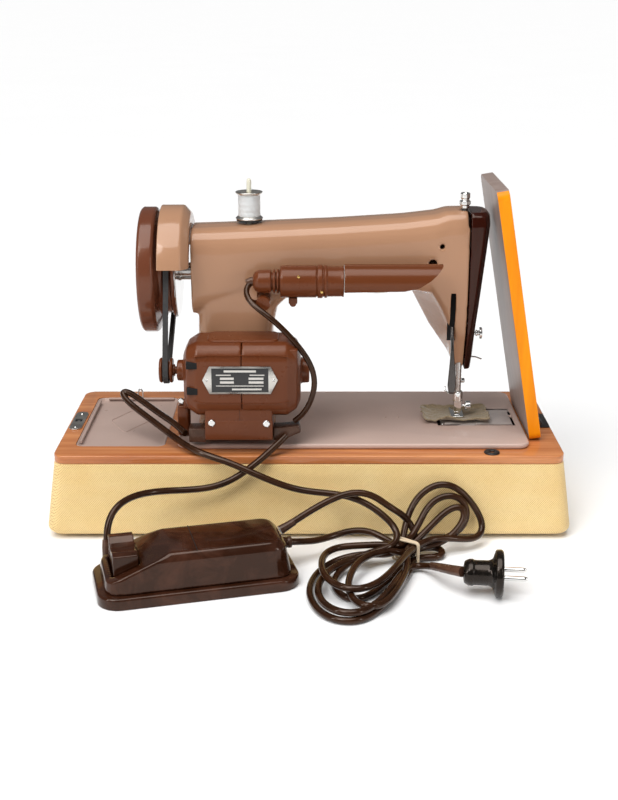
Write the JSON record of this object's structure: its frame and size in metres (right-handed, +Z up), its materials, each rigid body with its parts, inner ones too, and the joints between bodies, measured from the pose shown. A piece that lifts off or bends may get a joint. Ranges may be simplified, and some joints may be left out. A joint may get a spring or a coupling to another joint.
{
  "type": "sewing machine",
  "caption": "Portable electric sewing machine on a wooden case base, with belt motor, lamp, foot pedal and tied mains lead.",
  "frame": {"origin": "centre of the footprint of the machine, case and pedal, on the surface they stand on, without the loose leads", "axes": "+X from the handwheel to the needle head, +Y towards the operator, +Z up"},
  "size_m": [0.549, 0.427, 0.3595],
  "materials": {
    "enamel": "gloss tan enamel",
    "bed_enamel": "gloss grey-brown enamel",
    "motor_enamel": "red-brown hammered enamel",
    "wheel_enamel": "gloss dark brown enamel",
    "face_enamel": "gloss very dark brown enamel",
    "case_cloth": "cream woven covering with brown fleck",
    "varnished_wood": "varnished orange-brown",
    "tray_metal": "satin grey-tan",
    "steel": "brushed",
    "chrome": "polished",
    "dark_metal": "blackened",
    "belt_rubber": "matte black",
    "bakelite": "gloss dark brown bakelite",
    "plug_bakelite": "gloss black bakelite",
    "cord": "brown flexible lead",
    "thread": "white cotton thread",
    "cream_plastic": "cream",
    "bulb_glass": "frosted white",
    "felt": "rough grey-brown wool"
  },
  "bodies": {
    "root": {"case_body": "case_cloth", "case_deck": "varnished_wood", "tool_tray": "tray_metal", "lock_plate": "steel", "lock_escutcheon": "dark_metal", "leaf_hinge_base": "dark_metal", "bed_plate": "bed_enamel", "needle_plate": "steel", "arm_casting": "enamel", "face_plate": "face_enamel", "belt_guard": "enamel", "drive_belt": "belt_rubber", "motor_shell_left": "motor_enamel", "motor_shell_right": "motor_enamel", "motor_nameplate": "dark_metal", "motor_bracket": "motor_enamel", "terminal_box": "motor_enamel", "connector_left": "bakelite", "connector_right": "bakelite", "tension_discs": "chrome", "spool_pin": "cream_plastic", "lamp_bracket": "motor_enamel", "pedal_base": "bakelite", "pedal_housing": "bakelite", "test_cloth": "felt", "lamp_lead": "cord", "controller_lead": "cord", "motor_lead": "cord", "speed_lead": "cord", "mains_lead": "cord", "lead_bundle": "cord", "mains_plug": "plug_bakelite"},
    "handwheel": {"handwheel": "wheel_enamel", "main_shaft": "steel"},
    "clutch_knob": {"clutch_knob": "chrome"},
    "motor_rotor": {"motor_armature": "dark_metal"},
    "hook": {"rotary_hook": "steel"},
    "vertical_shaft": {"vertical_shaft": "steel"},
    "needle_bar": {"needle_bar": "steel", "needle": "chrome"},
    "take_up": {"take_up_lever": "chrome"},
    "presser": {"presser_bar": "steel", "presser_foot": "chrome"},
    "presser_lifter": {"presser_lifter": "dark_metal"},
    "pressure_nut": {"pressure_nut": "chrome"},
    "tension_dial": {"tension_dial": "chrome"},
    "stitch_lever": {"stitch_lever": "steel"},
    "winder_frame": {"winder_frame": "steel"},
    "winder_spindle": {"winder_spindle": "steel"},
    "thread_spool": {"thread_spool": "thread"},
    "lamp": {"lamp_housing": "motor_enamel", "lamp_shade": "motor_enamel", "lamp_bulb": "bulb_glass"},
    "lamp_switch": {"lamp_switch": "motor_enamel"},
    "slide_plate": {"slide_plate": "steel"},
    "feed_dog": {"feed_dog": "steel"},
    "face_plate_screw": {"face_plate_screw": "chrome"},
    "extension_leaf": {"extension_leaf": "varnished_wood"},
    "tray_ring": {"tray_ring": "chrome"},
    "pedal_button": {"pedal_button": "bakelite"}
  },
  "joints": [
    {"name": "handwheel_spin", "type": "hinge", "parent": "root", "child": "handwheel", "pos_m": [0, 0.07883, 0.2625], "axis": [1, 0, 0], "continuous": true},
    {"name": "clutch_turn", "type": "hinge", "parent": "handwheel", "child": "clutch_knob", "pos_m": [0, 0.07883, 0.2625], "axis": [1, 0, 0], "range_deg": [0, 60]},
    {"name": "motor_spin", "type": "hinge", "parent": "root", "child": "motor_rotor", "pos_m": [0, 0.00483, 0.1725], "axis": [1, 0, 0], "continuous": true},
    {"name": "vertical_spin", "type": "hinge", "parent": "root", "child": "vertical_shaft", "pos_m": [-0.077, 0.07883, 0], "axis": [0, 0, 1], "continuous": true},
    {"name": "hook_spin", "type": "hinge", "parent": "root", "child": "hook", "pos_m": [0, 0.07883, 0.07], "axis": [1, 0, 0], "continuous": true},
    {"name": "needle_stroke", "type": "slide", "parent": "root", "child": "needle_bar", "axis": [0, 0, 1], "range_m": [-0.026, 0]},
    {"name": "take_up_swing", "type": "hinge", "parent": "root", "child": "take_up", "pos_m": [0, 0.09283, 0.241], "axis": [1, 0, 0], "range_deg": [-30, 35]},
    {"name": "lifter_swing", "type": "hinge", "parent": "root", "child": "presser_lifter", "pos_m": [0, 0.05383, 0.203], "axis": [-1, 0, 0], "range_deg": [0, 75]},
    {"name": "presser_lift", "type": "slide", "parent": "root", "child": "presser", "axis": [0, 0, 1], "range_m": [0, 0.0072]},
    {"name": "pressure_turn", "type": "hinge", "parent": "root", "child": "pressure_nut", "pos_m": [0.163, 0.06883, 0], "axis": [0, 0, 1], "range_deg": [-180, 180]},
    {"name": "tension_turn", "type": "hinge", "parent": "root", "child": "tension_dial", "pos_m": [0.146, 0.07883, 0.2], "axis": [0, 1, 0], "range_deg": [-170, 170]},
    {"name": "stitch_length", "type": "hinge", "parent": "root", "child": "stitch_lever", "pos_m": [-0.077, 0.07883, 0.19], "axis": [0, 1, 0], "range_deg": [-22, 22]},
    {"name": "winder_engage", "type": "hinge", "parent": "root", "child": "winder_frame", "pos_m": [0, 0.11833, 0.234], "axis": [1, 0, 0], "range_deg": [0, 5]},
    {"name": "winder_spin", "type": "hinge", "parent": "winder_frame", "child": "winder_spindle", "pos_m": [0, 0.13883, 0.24], "axis": [1, 0, 0], "continuous": true},
    {"name": "spool_spin", "type": "hinge", "parent": "root", "child": "thread_spool", "pos_m": [-0.063, 0.07883, 0], "axis": [0, 0, 1], "continuous": true},
    {"name": "lamp_swivel", "type": "hinge", "parent": "root", "child": "lamp", "pos_m": [0, 0.02183, 0.2625], "axis": [1, 0, 0], "range_deg": [-60, 25]},
    {"name": "lamp_switch_turn", "type": "hinge", "parent": "lamp", "child": "lamp_switch", "pos_m": [0, 0.02183, 0.2625], "axis": [1, 0, 0], "range_deg": [-12, 12]},
    {"name": "slide_plate_pull", "type": "slide", "parent": "root", "child": "slide_plate", "axis": [1, 0, 0], "range_m": [0, 0.007]},
    {"name": "feed_stroke", "type": "slide", "parent": "root", "child": "feed_dog", "axis": [0, 1, 0], "range_m": [-0.002, 0.002]},
    {"name": "face_screw_turn", "type": "hinge", "parent": "root", "child": "face_plate_screw", "pos_m": [0, 0.07883, 0.192], "axis": [1, 0, 0], "range_deg": [0, 360]},
    {"name": "leaf_fold", "type": "hinge", "parent": "root", "child": "extension_leaf", "pos_m": [0.253, 0.07883, 0.0956], "axis": [0, 1, 0], "range_deg": [0, 100]},
    {"name": "ring_fold", "type": "hinge", "parent": "root", "child": "tray_ring", "pos_m": [-0.1975, 0.15943, 0.0874], "axis": [1, 0, 0], "range_deg": [0, 85]},
    {"name": "pedal_press", "type": "slide", "parent": "root", "child": "pedal_button", "axis": [0, 0, 1], "range_m": [-0.008, 0], "stiffness_N_per_m": 600, "springref_m": 0.004}
  ],
  "couplings": [
    {"joint": "motor_spin", "follows": "handwheel_spin", "ratio": 4.842},
    {"joint": "vertical_spin", "follows": "handwheel_spin", "ratio": 1},
    {"joint": "hook_spin", "follows": "handwheel_spin", "ratio": 2},
    {"joint": "presser_lift", "follows": "lifter_swing", "m_per_rad": 0.0053}
  ]
}
